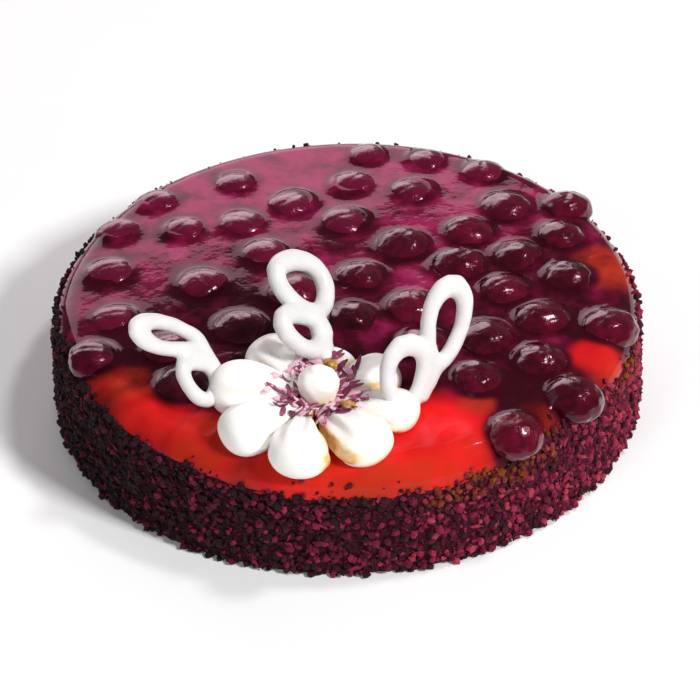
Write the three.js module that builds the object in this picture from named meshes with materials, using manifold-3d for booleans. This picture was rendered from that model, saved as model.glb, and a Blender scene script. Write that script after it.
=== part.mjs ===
// Round yogurt cake: a cake body coated with chocolate crumbs, a thick layer of red jelly with cherries
// bedded in it, a piped cream flower near the front edge and three white chocolate ornaments that stand
// in the cream. Millimetres, +Z up, origin at the centre of the base, front of the cake towards -Y.
import * as THREE from "three";
import { mergeVertices } from "three/addons/utils/BufferGeometryUtils.js";
import Module from "manifold-3d";

const wasm = await Module();
wasm.setup();

// Cake body and jelly
const BASE_RADIUS = 118.5;
const SIDE_TOP_RADIUS = 117;
const BASE_BEVEL = 1.5;
const JELLY_FLOOR = 37;
const JELLY_TOP = 48;
const SHOULDER_WIDTH = 11;
const SHOULDER_STEPS = 4;
const ROUND_SEGMENTS = 64;
const SIDE_ROWS = 3;
const SIDE_RELIEF = 0.7;
const GAP = 0.3;

// Chocolate crumbs that stand out of the side and of the jelly's rim
const SIDE_CRUMBS = 28;
const SIDE_CRUMB_LOW = 4.5;
const SIDE_CRUMB_HIGH = 32.2;
const RIM_CRUMBS = 12;
const RIM_CRUMB_SECTORS = [
  { from: -178, to: -120 },
  { from: -64, to: -36 },
  { from: 22, to: 64 },
];
const CRUMB_RADIUS = 2.7;
const CRUMB_SPREAD = 0.7;

// Cherries, by the x and y of their middles, in rows from the back to the front
const CHERRIES = [
  [13, 100], [34, 95], [60, 84],
  [-80, 67], [-46, 80], [3, 76], [30, 70],
  [-94, 44], [-64, 45], [-39, 49], [-22, 60], [0, 49], [66, 54], [93, 52],
  [-97, 15], [-58, 6], [-33, 27], [25, 27], [51, 36], [69, 17], [89, 34],
  [-91, -17], [-42, -25], [-22, -3], [6, 7], [45, 14], [65, -7], [89, 3],
  [-99, -42], [-70, -38], [3, -22], [26, -16], [58, -38], [75.5, -28.5], [99, -30],
  [-60, -62], [36, -40], [49, -63], [75, -58], [61.5, -94], [87, -74],
];
const CHERRY_HALF_LENGTH = 12;
const CHERRY_HALF_WIDTH = 10.8;
const CHERRY_HALF_HEIGHT = 7.1;
const CHERRY_SIZE_SPREAD = 0.07;
const CHERRY_CENTRE = 45.9;
const CHERRY_SAG = 0.45;
const CHERRY_SPACING = 0.9;
const CHERRY_REACH = 112;
const CHERRY_DIMPLE = 0.16;
const CHERRY_LEAN = 0.22;
// Towards the back left the cherries lie deeper in the jelly and show flatter: by how much at most, and where
// that starts and is complete, as y less a share of x
const SUNK_DROP = 1.4;
const SUNK_FLATNESS = 0.84;
const SUNK_SHARE_OF_X = 0.6;
const SUNK_START = -10;
const SUNK_END = 60;
const RELAX_ROUNDS = 400;

// Places where the jelly lies bare, as centre and radius: the flower, the front and two spots on the right
const BARE_PATCHES = [
  { x: -11, y: -78, radius: 42 },
  { x: 30, y: -110, radius: 22 },
  { x: -74, y: -95, radius: 24 },
  { x: 99, y: -53, radius: 9 },
  { x: 111, y: 12, radius: 11 },
];

// Cream flower
const FLOWER = new THREE.Vector3(-11, -79, JELLY_TOP);
const PETAL_COUNT = 8;
const PETAL_FIRST = -148;
const PETAL_INNER = 3;
const PETAL_OUTER = 41.5;
const SHORT_PETALS = { 3: 39.5, 4: 38, 5: 34, 6: 28 };
const PETAL_RISES = { 4: 0.76, 8: 1.2 };
const PETAL_WIDTH = 26;
const PETAL_HEIGHT = 19.5;
const PETAL_RAISE = 4.5;
const PETAL_SIDE_TAPER = 0.35;
const PETAL_BACK_TAPER = 0.58;
const PETAL_BLUNTNESS = 0.26;
// The seam between the second and the third petal slants by an angle in degrees about a pivot on it
const SLANTED_SEAM = 2;
const SEAM_SLANT = 15;
const SEAM_PIVOT = 36;
const BEAD_RADIUS = 7.8;
const BEAD_FLATNESS = 0.78;
const BEAD_HEIGHT = 13;

// Thin chocolate shavings on the petals, round the bead
const SHAVING_LENGTH = 9;
const SHAVING_WIDTH = 2.6;
const SHAVING_THICKNESS = 3;
const SHAVING_REACH = 14.5;
const SHAVING_LEVEL = 9.6;

// White chocolate ornaments, piped by hand: each has a large and a small loop on a stem. The stance is the
// heading of the lean, its lift above the horizontal and the twist about the stem, in degrees. The strand is
// as wide as given at the stem, and wider by a share of that at the top of each loop.
const STRAND_FLATNESS = 0.8;
const STRAND_SIDES = 6;
const LARGE_LOOP_STEPS = 18;
const SMALL_LOOP_STEPS = 13;
const LOOP_TAPER = 0.24;
const ORNAMENTS = [
  {
    name: "left",
    foot: [-46, -70, 53],
    stance: { heading: 170, lift: 38, twist: -11 },
    strand: { width: 5.8, swell: 0.7 },
    large: { x: 4.7, y: 28, halfWidth: 5.5, halfLength: 13.2, turn: 27 },
    small: { x: -4.4, y: 10, halfWidth: 7.2, halfLength: 8.6, turn: -55 },
  },
  {
    name: "back",
    foot: [-7, -62, 57],
    stance: { heading: 124, lift: 36, twist: 22 },
    strand: { width: 7.4, swell: 0.25 },
    large: { x: 8.2, y: 32, halfWidth: 11.8, halfLength: 11.6, turn: -7 },
    small: { x: -4, y: 14.5, halfWidth: 9.8, halfLength: 8, turn: -17 },
  },
  {
    name: "right",
    foot: [26.5, -79, 51.5],
    stance: { heading: 76, lift: 67, twist: 47 },
    strand: { width: 6.2, swell: 0.5 },
    large: { x: 9, y: 28, halfWidth: 8, halfLength: 15, turn: -8 },
    small: { x: -7.5, y: 9.4, halfWidth: 8.4, halfLength: 12.4, turn: 0 },
  },
];

// Colours and finishes
const finish = (color, roughness) => new THREE.MeshStandardMaterial({ color, roughness, metalness: 0 });
const CRUMB_COAT = finish(0x3a1a18, 0.95);
const JELLY = finish(0xb01018, 0.12);
const CHERRY = finish(0x4a0a1c, 0.18);
const CREAM = finish(0xf7f2ea, 0.6);
const WHITE_CHOCOLATE = finish(0xefeae2, 0.4);

// A repeatable stream of numbers from 0 to 1.
function seeded(seed) {
  let state = seed;
  return () => {
    state = (state + 0x6d2b79f5) | 0;
    let t = Math.imul(state ^ (state >>> 15), 1 | state);
    t = (t + Math.imul(t ^ (t >>> 7), 61 | t)) ^ t;
    return ((t ^ (t >>> 14)) >>> 0) / 4294967296;
  };
}

const spread = (random, half) => (random() * 2 - 1) * half;

// A closed geometry as a solid that can be cut and joined.
function solidOf(geometry) {
  const bare = geometry.clone();
  bare.deleteAttribute("normal");
  bare.deleteAttribute("uv");
  const merged = mergeVertices(bare, 1e-4);
  return new wasm.Manifold(
    new wasm.Mesh({
      numProp: 3,
      vertProperties: merged.attributes.position.array,
      triVerts: new Uint32Array(merged.index.array),
    }),
  );
}

function geometryOf(solid) {
  const mesh = solid.getMesh();
  const geometry = new THREE.BufferGeometry();
  geometry.setAttribute("position", new THREE.BufferAttribute(mesh.vertProperties, 3));
  geometry.setIndex(new THREE.BufferAttribute(mesh.triVerts, 1));
  geometry.computeVertexNormals();
  return geometry;
}

function meshOf(name, solid, material) {
  const mesh = new THREE.Mesh(geometryOf(solid), material);
  mesh.name = name;
  return mesh;
}

// Moves each vertex of a geometry by a function that changes the vector it is given.
function reshape(geometry, change) {
  const position = geometry.attributes.position;
  const point = new THREE.Vector3();
  for (let i = 0; i < position.count; i++) {
    change(point.fromBufferAttribute(position, i));
    position.setXYZ(i, point.x, point.y, point.z);
  }
  return geometry;
}

// A profile of radius and height turned about the cake's upright axis.
function turned(profile, segments = ROUND_SEGMENTS) {
  const points = profile.map(([radius, height]) => new THREE.Vector2(radius, height));
  return new THREE.LatheGeometry(points, segments).rotateX(Math.PI / 2);
}

// The jelly's outline from its floor up over the rounded shoulder to the axis, grown outwards by a margin.
function jellyProfile(floor, margin) {
  const profile = [
    [0, floor],
    [SIDE_TOP_RADIUS + margin, floor],
  ];
  for (let i = 1; i <= SHOULDER_STEPS; i++) {
    const angle = (i / SHOULDER_STEPS) * (Math.PI / 2);
    profile.push([
      SIDE_TOP_RADIUS - SHOULDER_WIDTH + (SHOULDER_WIDTH + margin) * Math.cos(angle),
      JELLY_FLOOR + (JELLY_TOP - JELLY_FLOOR + margin) * Math.sin(angle),
    ]);
  }
  profile.push([0, JELLY_TOP + margin]);
  return profile;
}

// Height of the jelly's bare surface at a distance from the axis.
function jellyHeight(radius) {
  const out = Math.max(0, (radius - SIDE_TOP_RADIUS + SHOULDER_WIDTH) / SHOULDER_WIDTH);
  return JELLY_FLOOR + (JELLY_TOP - JELLY_FLOOR) * Math.sqrt(Math.max(0, 1 - out * out));
}

// One crumb: a small faceted lump, turned at random and set at a point.
function crumb(random, point) {
  const lump = new THREE.IcosahedronGeometry(CRUMB_RADIUS + spread(random, CRUMB_SPREAD), 0);
  lump.scale(1, 0.7 + 0.3 * random(), 0.5 + 0.3 * random());
  lump.rotateX(random() * Math.PI).rotateZ(random() * Math.PI);
  return solidOf(lump.translate(point.x, point.y, point.z));
}

// The body's crumb coat: a turned side with a low uneven relief, and crumbs fused to it.
function cakeBody() {
  const top = JELLY_FLOOR - GAP / 2;
  const profile = [
    [0, 0],
    [BASE_RADIUS - BASE_BEVEL, 0],
  ];
  const sideRadius = (height) => THREE.MathUtils.lerp(BASE_RADIUS, SIDE_TOP_RADIUS, height / top);
  for (let row = 0; row <= SIDE_ROWS; row++) {
    const height = THREE.MathUtils.lerp(BASE_BEVEL, top, row / SIDE_ROWS);
    profile.push([sideRadius(height), height]);
  }
  profile.push([0, top]);
  const core = reshape(turned(profile), (point) => {
    const radius = Math.hypot(point.x, point.y);
    if (radius < SIDE_TOP_RADIUS - GAP || point.z < BASE_BEVEL / 2 || point.z > top - GAP) return;
    const angle = Math.atan2(point.y, point.x);
    const wave = Math.sin(17 * angle + 0.5 * point.z) * Math.sin(29 * angle - 0.8 * point.z);
    const scale = 1 + (SIDE_RELIEF * wave) / radius;
    point.x *= scale;
    point.y *= scale;
  });
  const random = seeded(11);
  const golden = Math.PI * (3 - Math.sqrt(5));
  let body = solidOf(core);
  for (let i = 0; i < SIDE_CRUMBS; i++) {
    const angle = i * golden;
    const height = THREE.MathUtils.lerp(SIDE_CRUMB_LOW, SIDE_CRUMB_HIGH, random());
    const radius = sideRadius(height) + 0.2;
    const place = new THREE.Vector3(radius * Math.cos(angle), radius * Math.sin(angle), height);
    body = body.add(crumb(random, place));
  }
  return body;
}

// Pushes a place away from a point until it is at least a distance from it, or part of the way.
function pushAway(place, { x, y }, least, share) {
  const away = new THREE.Vector2(place.x - x, place.y - y);
  const short = least - away.length();
  if (short <= 0) return;
  away.setLength(short * share);
  place.x += away.x;
  place.y += away.y;
}

// Where each cherry lies and how large it is, pushed apart until none overlap and none lies on a bare patch
// or over the cake's edge.
function cherryPlaces() {
  const random = seeded(23);
  const places = CHERRIES.map(([x, y]) => ({
    size: 1 + spread(random, CHERRY_SIZE_SPREAD),
    x,
    y,
    turn: random() * Math.PI,
    lean: spread(random, CHERRY_LEAN),
  }));
  const reach = (place) => CHERRY_HALF_LENGTH * place.size;
  for (let round = 0; round < RELAX_ROUNDS; round++) {
    for (const place of places) {
      for (const other of places) {
        if (other !== place) pushAway(place, other, reach(place) + reach(other) + CHERRY_SPACING, 0.5);
      }
      for (const patch of BARE_PATCHES) pushAway(place, patch, patch.radius + reach(place), 1);
      const excess = Math.max(1, Math.hypot(place.x, place.y) / CHERRY_REACH);
      place.x /= excess;
      place.y /= excess;
    }
  }
  return places;
}

// A cherry with a shallow dimple where its stone was taken out, grown outwards by a margin.
function cherry(place, margin) {
  const sunk = THREE.MathUtils.smoothstep(place.y - SUNK_SHARE_OF_X * place.x, SUNK_START, SUNK_END);
  const halfHeight = CHERRY_HALF_HEIGHT * THREE.MathUtils.lerp(1, SUNK_FLATNESS, sunk);
  const ball = reshape(new THREE.SphereGeometry(1, 8, 6), (point) => {
    const dimple = CHERRY_DIMPLE * Math.max(0, point.y) ** 6;
    point.multiplyScalar(1 - dimple);
  });
  const grow = (half) => half * place.size + margin;
  ball.scale(grow(CHERRY_HALF_WIDTH), grow(CHERRY_HALF_LENGTH), grow(halfHeight));
  ball.rotateX(place.lean).rotateZ(place.turn);
  const edge = Math.hypot(place.x, place.y) + CHERRY_HALF_WIDTH / 2;
  const shoulderDrop = JELLY_TOP - jellyHeight(Math.min(edge, SIDE_TOP_RADIUS));
  const drop = Math.max(SUNK_DROP * sunk, Math.min(CHERRY_SAG, 0.25 * shoulderDrop));
  return solidOf(ball.translate(place.x, place.y, CHERRY_CENTRE - drop));
}

// The jelly with a pocket for every cherry and a scatter of crumbs along stretches of its rim.
function jelly(places) {
  let layer = solidOf(turned(jellyProfile(JELLY_FLOOR + GAP / 2, 0)));
  const random = seeded(37);
  for (let i = 0; i < RIM_CRUMBS; i++) {
    const { from, to } = RIM_CRUMB_SECTORS[i % RIM_CRUMB_SECTORS.length];
    const angle = THREE.MathUtils.degToRad(THREE.MathUtils.lerp(from, to, random()));
    const radius = SIDE_TOP_RADIUS - SHOULDER_WIDTH * (0.12 + 0.3 * random());
    const place = new THREE.Vector3(radius * Math.cos(angle), radius * Math.sin(angle), jellyHeight(radius));
    const clearance = CHERRY_HALF_LENGTH + CRUMB_RADIUS + CRUMB_SPREAD + GAP;
    if (places.some(({ x, y }) => Math.hypot(place.x - x, place.y - y) < clearance)) continue;
    layer = layer.add(crumb(random, place));
  }
  for (const place of places) layer = layer.subtract(cherry(place, GAP));
  return layer;
}

// A ring that follows a closed egg-shaped line in the XY plane: narrow end down, strand swollen at the top
// and grown by a margin.
function loop({ x, y, halfWidth, halfLength, turn }, strand, steps, margin) {
  const lineAt = (u) =>
    new THREE.Vector2(halfWidth * Math.cos(u) * (1 + LOOP_TAPER * Math.sin(u)), halfLength * Math.sin(u));
  const ring = reshape(new THREE.TorusGeometry(2, 1, STRAND_SIDES, steps), (point) => {
    const u = Math.atan2(point.y, point.x);
    const across = Math.hypot(point.x, point.y) - 2;
    const along = lineAt(u + 1e-3).sub(lineAt(u - 1e-3)).normalize();
    const middle = lineAt(u);
    const half = (strand.width * (1 + strand.swell * Math.max(0, Math.sin(u)) ** 3)) / 2 + margin;
    point.set(
      middle.x + along.y * across * half,
      middle.y - along.x * across * half,
      point.z * ((STRAND_FLATNESS * strand.width) / 2 + margin),
    );
  });
  return solidOf(ring.rotateZ(THREE.MathUtils.degToRad(turn)).translate(x, y, 0));
}

// An ornament's two loops, and its stem from the origin to the narrow end of the large loop, in its stance.
function ornament({ foot, stance, strand, large, small }, margin) {
  const turn = THREE.MathUtils.degToRad(large.turn);
  const top = new THREE.Vector2(large.x, large.y);
  top.add(new THREE.Vector2(Math.sin(turn), -Math.cos(turn)).multiplyScalar(large.halfLength));
  const radius = strand.width / 2 + margin;
  const stem = new THREE.CylinderGeometry(radius, radius, top.length() + margin, STRAND_SIDES);
  stem.scale(1, 1, STRAND_FLATNESS).translate(0, top.length() / 2, 0);
  stem.rotateZ(top.angle() - Math.PI / 2);
  const largeRing = loop(large, strand, LARGE_LOOP_STEPS, margin);
  const smallRing = loop(small, strand, SMALL_LOOP_STEPS, margin);
  return placed(largeRing.add(smallRing).add(solidOf(stem)), foot, stance);
}

// Turns a solid from the XY plane into a stance, with its origin at the foot.
function placed(solid, foot, stance) {
  const heading = THREE.MathUtils.degToRad(stance.heading);
  const lift = THREE.MathUtils.degToRad(stance.lift);
  const level = new THREE.Vector3(Math.sin(heading), -Math.cos(heading), 0);
  const axis = new THREE.Vector3(Math.cos(heading), Math.sin(heading), 0).multiplyScalar(Math.cos(lift));
  axis.z = Math.sin(lift);
  const side = level.applyAxisAngle(axis, THREE.MathUtils.degToRad(stance.twist));
  const face = new THREE.Vector3().crossVectors(side, axis);
  const matrix = new THREE.Matrix4().makeBasis(side, axis, face).setPosition(...foot);
  return solid.transform(matrix.elements);
}

// One petal's bare dollop along +X from the flower's middle to its reach: fat and round outside, tapered
// inside. A shorter petal is slimmer too.
function petalDollop(reach) {
  const length = reach - PETAL_INNER;
  const girth = 0.5 + (0.5 * reach) / PETAL_OUTER;
  const ball = new THREE.SphereGeometry(1, 10, 7).rotateZ(-Math.PI / 2);
  return reshape(ball, (point) => {
    const inward = (0.5 - point.x / 2) ** 1.5;
    const along = point.x + PETAL_BLUNTNESS * (1 - point.x * point.x);
    point.set(
      PETAL_INNER + (length * (along + 1)) / 2,
      (point.y * (1 - PETAL_SIDE_TAPER * inward) * girth * PETAL_WIDTH) / 2,
      (point.z * (1 - PETAL_BACK_TAPER * inward) * girth * PETAL_HEIGHT) / 2 + PETAL_RAISE,
    );
  });
}

// A shaving that lies across the petal's back, near the bead.
function shaving(random) {
  const strip = new THREE.BoxGeometry(SHAVING_LENGTH, SHAVING_WIDTH, SHAVING_THICKNESS, 2, 1, 1);
  reshape(strip, (point) => {
    point.z -= 0.05 * point.x * point.x;
  });
  strip.rotateZ(0.6 + spread(random, 0.7));
  return solidOf(strip.translate(SHAVING_REACH + spread(random, 1.5), spread(random, 1.5), SHAVING_LEVEL));
}

// Cuts a petal along +X at the seam on its left (side 1) or right (side -1), half a sector away. Seams count
// like the petals, and each lies on the left of its own petal.
function cutAtSeam(dollop, side, seam) {
  const middle = new THREE.Vector2();
  const turn = (side * Math.PI) / PETAL_COUNT;
  const slant = seam === SLANTED_SEAM ? THREE.MathUtils.degToRad(SEAM_SLANT) : 0;
  const pivot = new THREE.Vector2(SEAM_PIVOT, 0).rotateAround(middle, turn);
  const inward = new THREE.Vector2(0, -side).rotateAround(middle, turn + slant);
  return dollop.trimByPlane([inward.x, inward.y, 0], inward.dot(pivot) + GAP / 2);
}

// The petals: each keeps to its own side of its two seams and clear of everything that touches it.
function petals(cutters) {
  const random = seeded(53);
  const made = [];
  for (let i = 0; i < PETAL_COUNT; i++) {
    const angle = PETAL_FIRST + (i * 360) / PETAL_COUNT;
    let dollop = solidOf(petalDollop(SHORT_PETALS[i + 1] ?? PETAL_OUTER)).add(shaving(random));
    dollop = dollop.scale([1, 1, PETAL_RISES[i + 1] ?? 1]);
    dollop = cutAtSeam(cutAtSeam(dollop, 1, i + 1), -1, i);
    dollop = dollop.rotate(0, 0, angle).translate(FLOWER.x, FLOWER.y, FLOWER.z);
    for (const cutter of cutters) dollop = dollop.subtract(cutter);
    made.push(dollop);
  }
  return made;
}

function bead(margin) {
  const ball = new THREE.SphereGeometry(1, 10, 7).rotateX(Math.PI / 2);
  ball.scale(BEAD_RADIUS + margin, BEAD_RADIUS + margin, BEAD_RADIUS * BEAD_FLATNESS + margin);
  return solidOf(ball.translate(FLOWER.x, FLOWER.y, FLOWER.z + BEAD_HEIGHT));
}

const cake = new THREE.Group();
const places = cherryPlaces();
cake.add(meshOf("cake_body", cakeBody(), CRUMB_COAT));
cake.add(meshOf("cherry_jelly", jelly(places), JELLY));
places.forEach((place, i) => {
  const name = `cherry_${String(i + 1).padStart(2, "0")}`;
  cake.add(meshOf(name, cherry(place, 0), CHERRY));
});

const jellyKeepOut = solidOf(turned(jellyProfile(0, GAP)));
const ornaments = ORNAMENTS.map((design) => ornament(design, 0).subtract(jellyKeepOut));
const cutters = [jellyKeepOut, bead(GAP), ...ORNAMENTS.map((design) => ornament(design, GAP))];
petals(cutters).forEach((petal, i) => cake.add(meshOf(`cream_petal_${i + 1}`, petal, CREAM)));
cake.add(meshOf("cream_bead", bead(0), CREAM));
ornaments.forEach((solid, i) => {
  cake.add(meshOf(`chocolate_loop_${ORNAMENTS[i].name}`, solid, WHITE_CHOCOLATE));
});

export default cake;
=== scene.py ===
"""Looks of a round yogurt cake: crumb coat, red jelly with cherries, cream flower and chocolate loops.

Shapes are worked out in millimetres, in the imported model's own frame, and scaled when a mesh is made.
A list of waves holds the height, size and seed of each. On a unit ball the height and the size are shares
of its radius.
"""

import math

import bmesh
import bpy
import numpy as np
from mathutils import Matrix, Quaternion, Vector, noise
from mathutils.bvhtree import BVHTree


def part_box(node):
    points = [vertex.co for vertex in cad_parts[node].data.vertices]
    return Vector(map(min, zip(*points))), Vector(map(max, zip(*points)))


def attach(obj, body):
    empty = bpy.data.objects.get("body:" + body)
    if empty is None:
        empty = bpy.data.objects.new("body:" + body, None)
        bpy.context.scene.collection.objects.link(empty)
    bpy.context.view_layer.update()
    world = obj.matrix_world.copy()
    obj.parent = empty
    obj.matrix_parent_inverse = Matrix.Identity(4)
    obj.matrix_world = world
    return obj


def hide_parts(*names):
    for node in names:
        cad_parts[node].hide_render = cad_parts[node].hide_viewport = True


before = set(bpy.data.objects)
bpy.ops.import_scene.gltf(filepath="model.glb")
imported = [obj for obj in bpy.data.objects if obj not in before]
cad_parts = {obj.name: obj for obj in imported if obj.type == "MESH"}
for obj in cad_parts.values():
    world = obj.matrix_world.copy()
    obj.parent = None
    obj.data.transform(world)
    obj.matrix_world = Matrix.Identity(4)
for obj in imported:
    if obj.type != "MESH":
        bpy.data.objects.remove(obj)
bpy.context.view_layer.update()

MM = 0.001
BODY = "root"

# Cake body and jelly
BASE_RADIUS = 118.5
SIDE_TOP_RADIUS = 117.0
SIDE_HEIGHT = 37.0
JELLY_TOP = 48.0
SHOULDER = 11.0
SHOULDER_START = SIDE_TOP_RADIUS - SHOULDER
BASE_BEVEL = 1.5

# Upper edge of the crumb coat, as direction in degrees and distance up the outline from the base
CRUMB_EDGE = [
    (-180, 41.0),
    (-168, 44.5),
    (-157, 47.0),
    (-140, 41.5),
    (-120, 39.5),
    (-107, 37.0),
    (-90, 36.0),
    (-62, 37.2),
    (-52, 41.5),
    (-38, 43.0),
    (-22, 38.5),
    (0, 40.0),
    (40, 41.0),
    (180, 41.0),
]
EDGE_WAVES = [(1.2, 16, 3), (0.9, 5, 4)]

# Crumb coat: how proud it stands, and how its upper edge is tucked into the jelly over a hidden core
COAT_COLUMNS = 600
COAT_ROWS = 44
COAT_PROUD = 0.3
COAT_WAVES = [(0.55, 3.2, 1), (0.44, 1.5, 2)]
TUCK_RISE = 0.4
TUCK_DEPTH = 1.2
CORE_DROP = 1.0

# Loose crumbs: where they lie, their sizes, of which a power below 1 makes most small, bumps and stretch
CRUMB_SEED = 5
CRUMB_DIVISIONS = 1
CRUMB_COUNT = 9200
CRUMB_STRAYS = 300
CRUMB_LOWEST = 0.7
CRUMB_HIGHEST = SIDE_HEIGHT + 1.35 * SHOULDER
STRAY_REACH = 1.6
STRAY_SIZE = 1.5
CRUMB_SIZES = (0.55, 2.3)
CRUMB_SIZE_POWER = 0.42
CRUMB_PROUD = 0.25
CRUMB_PROUD_SHARE = 0.25
CRUMB_BUMPS = (0.68, 1.15)
CRUMB_STRETCH = (0.65, 1.1)
CRUMB_CLEARANCE = 0.02

# Tones of the crumbs: painted light and shade, by how much lighter they are on the right than in the middle
# and darker on the left, the shares of that which the coat takes and the crumbs take on top, and the shape
# numbers of the beta spread of their tones
PAINTED_LIGHT_SLANT = 0.28
COAT_PAINTED_LIGHT_SHARE = 0.5
CRUMB_PAINTED_LIGHT_SHARE = 0.6
CRUMB_TONES = (1.6, 2.4)
CRUMB_TONE_WAVES = [(0.1, 14, 8)]
# Spots and stretches of another colour are full in their core, a share of the half width, and fade outwards
SPOT_CORE = 0.5
# Stretches with brown crumbs below the edge, as middle and half width in degrees, and where up the outline
# they start and are complete
BROWN_STRETCHES = [(-63, 17), (-21, 7)]
BROWN_RISE = (26.0, 31.0)

# Chocolate flakes on the coat: spans of half length, width and thickness, and an outline in shares of the
# first two
FLAKE_SEED = 9
FLAKE_COUNT = 620
FLAKE_LOWEST = 3.0
FLAKE_PROUD = 0.8
FLAKE_HALF_SIZES = [(1.2, 2.8), (0.5, 1.1), (0.14, 0.28)]
FLAKE_OUTLINE = [(-1, -0.5), (-0.2, -1), (1, -0.3), (0.6, 0.8), (-0.7, 0.7)]
FLAKE_TILT = 0.35
FLAKE_BEND = 0.18
FLAKE_TONES = (0.1, 0.8)

# Where the cherries lie sunken, towards the back left: start and end, as y less a share of x
SUNK_SPAN = (-10.0, 60.0)
SUNK_SHARE_OF_X = 0.6

# Cherries: relief in shares of their half sizes, how much smoother sunken ones are, and their tones
CHERRY_DIVISIONS = 5
CHERRY_LUMPS = [(0.06, 0.9, 0)]
CHERRY_WRINKLES = [(0.045, 0.35, 50), (0.012, 0.14, 90)]
SUNK_SMOOTHNESS = 0.6
DIMPLE_DEPTH = 0.16
DIMPLE_WIDTH = 0.09
SUTURE_DEPTH = 0.025
SUTURE_WIDTH = 0.1
SUTURE_SPAN = (-0.2, 0.5)
CHERRY_TONE = 0.1
CHERRY_TONE_STRIDE = 2.4

# Jelly surface
JELLY_COLUMNS = 560
JELLY_ROWS = 112
JELLY_EYE = 1.5
SHOULDER_ROWS = 16
JELLY_WAVES = [(0.4, 26, 2), (0.06, 9, 5)]
SUNK_CALM = 0.6
LEVEL_MARGIN = 4.0
JELLY_FLOOR_DROP = 0.5
# Climb of the jelly at a cherry and how soon it falls away, at cherries that stand free and at sunken ones
MENISCUS_HEIGHT = (0.8, 1.1)
MENISCUS_REACH = (1.1, 1.5)
# The lip that hangs over the side, at least so far down and under the crumbs, and its rows as share of that
# way down and distance proud of the side
LIP_DROP = 1.0
LIP_COVER = 1.5
LIP_ROWS = [(0.5, 0.35), (0.9, 0.3), (1.0, -0.6)]

# Places where the jelly lies bright without cherries, as x, y, radius and share of full brightness
BARE_SPOTS = [
    (-74, -77, 21, 1.0),
    (-93, -57, 13, 0.3),
    (-54, -95, 22, 0.9),
    (-10, -105, 36, 1.0),
    (28, -98, 34, 1.0),
    (95, -50, 13, 0.8),
]
# Spots of painted shade between the cherries, or of painted highlight where the depth is negative, as x, y,
# radius and depth, their core and how much darker a depth of 1 is
SHADE_AND_HIGHLIGHT_SPOTS = [
    (-80, -41, 26, 1.0),
    (-48, -7, 34, 1.0),
    (-47, 18, 24, 0.5),
    (75, 72, 20, 1.0),
    (66, -72, 22, 1.0),
    (77, -88, 14, 1.0),
    (2, 38, 26, 0.8),
    (28, 4, 14, -1.6),
    (9, -30, 13, -1.3),
]
SHADE_SPOT_CORE = 0.4
PAINTED_SHADE_DARKNESS = 0.35
# Places where the jelly is thin enough for the crumbs to show brown through it, as x, y and radius
BROWN_SPOTS = [(106, 9, 19), (106, -57, 11), (-84, -60, 13), (-54, -94, 17), (48, -78, 9)]
# Painted sheen: where the wine turns pale towards the back, as y less a share of x on the right, and its
# tone in front
PAINTED_SHEEN_SPAN = (-35.0, 65.0)
PAINTED_SHEEN_SHARE_OF_X = 0.35
FRONT_WINE = 0.35
# Distances from a cherry's edge over which its painted shade fades, and over which bright and thin jelly
# starts, and the share of that painted shade that the wine under the painted sheen is spared
SHADE_SPAN = (-2.0, 5.0)
CLEAR_SPAN = (0.0, 4.0)
SHADE_RELIEF = 0.5
# The front of the jelly by y, and its rim of painted shade on both sides of a middle by distance from it
FRONT_SPAN = (-20.0, -70.0)
RIM_MIDDLE = 2.0
RIM_SPAN = (30.0, 55.0)
RIM_RADII = (SHOULDER_START - 8, SIDE_TOP_RADIUS - 2)
THIN_RADII = (SHOULDER_START - 6, SIDE_TOP_RADIUS)
# Shares that the painted rim shade takes from the brightness and the thinness, and adds to the painted
# shade
RIM_DIMNESS = 0.3
RIM_COVER = 0.5
RIM_SHADE_SHARE = 0.5

# Cream flower
PETAL_COUNT = 8
PETAL_FIRST = -148
PETAL_ROWS = 72
PETAL_COLUMNS = 72
PETAL_INNER = 3.0
PETAL_OUTER = 41.5
PETAL_WIDTH = 26.0
PETAL_HEIGHT = 19.5
PETAL_RAISE = 4.5
PETAL_SIDE_TAPER = 0.3
PETAL_BACK_TAPER = 0.55
PETAL_TAPER_POWER = 1.5
PETAL_BLUNTNESS = 0.26
PETAL_RISES = {4: 0.76, 8: 1.2}
PETAL_LUMPS = [(0.25, 9, 0)]
PETAL_CLEARANCE = 0.1
# Ridges that the nozzle leaves: number, height, shift from petal to petal, twist along the petal and the
# stretch over which they fade outwards, where 1 is its outer end and -1 its inner one
PETAL_RIDGES = 9
RIDGE_HEIGHT = 0.1
RIDGE_SHIFT = 0.6
RIDGE_TWIST = 0.8
RIDGE_SPAN = (0.7, -0.3)
# Seams between the petals: least half width of a petal, and how softly it is pressed to a closed seam
SEAM_LEAST = 0.3
SEAM_SOFTNESS = 0.35
# The seam between the second and the third petal: it gapes by a distance, more so further out, is softer by
# an amount, and slants by an angle in degrees about a pivot on it
OPEN_SEAM = 2
SEAM_GAP = 1.0
SEAM_GAP_SPAN = (8.0, 20.0)
OPEN_SOFTNESS = 0.5
SEAM_SLANT = 15
SEAM_PIVOT = 36
# Painted shade in golden tones in the folds: by nearness to a seam, by reach from the flower's middle, by
# height over the jelly and by place to the right of the middle; then those at the open seam
FOLD_PRESS = (0.8, 1.0)
FOLD_REACH = (40, 22)
FOLD_LEVEL = (8.0, 0.0)
FOLD_RIGHT = (-14.0, 2.0)
SEAM_PRESS = (0.7, 0.95)
FLANK_SPAN = (0.8, 0.97)
FLANK_REACH = (41.0, 35.0)
# Strength of the painted shade at a contact, low on a petal, on the open flank and along the open seam
CONTACT_SHADE = 0.7
LOW_SHADE = 0.8
FLANK_SHADE = 1.1
SEAM_SHADE = 1.2

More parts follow.
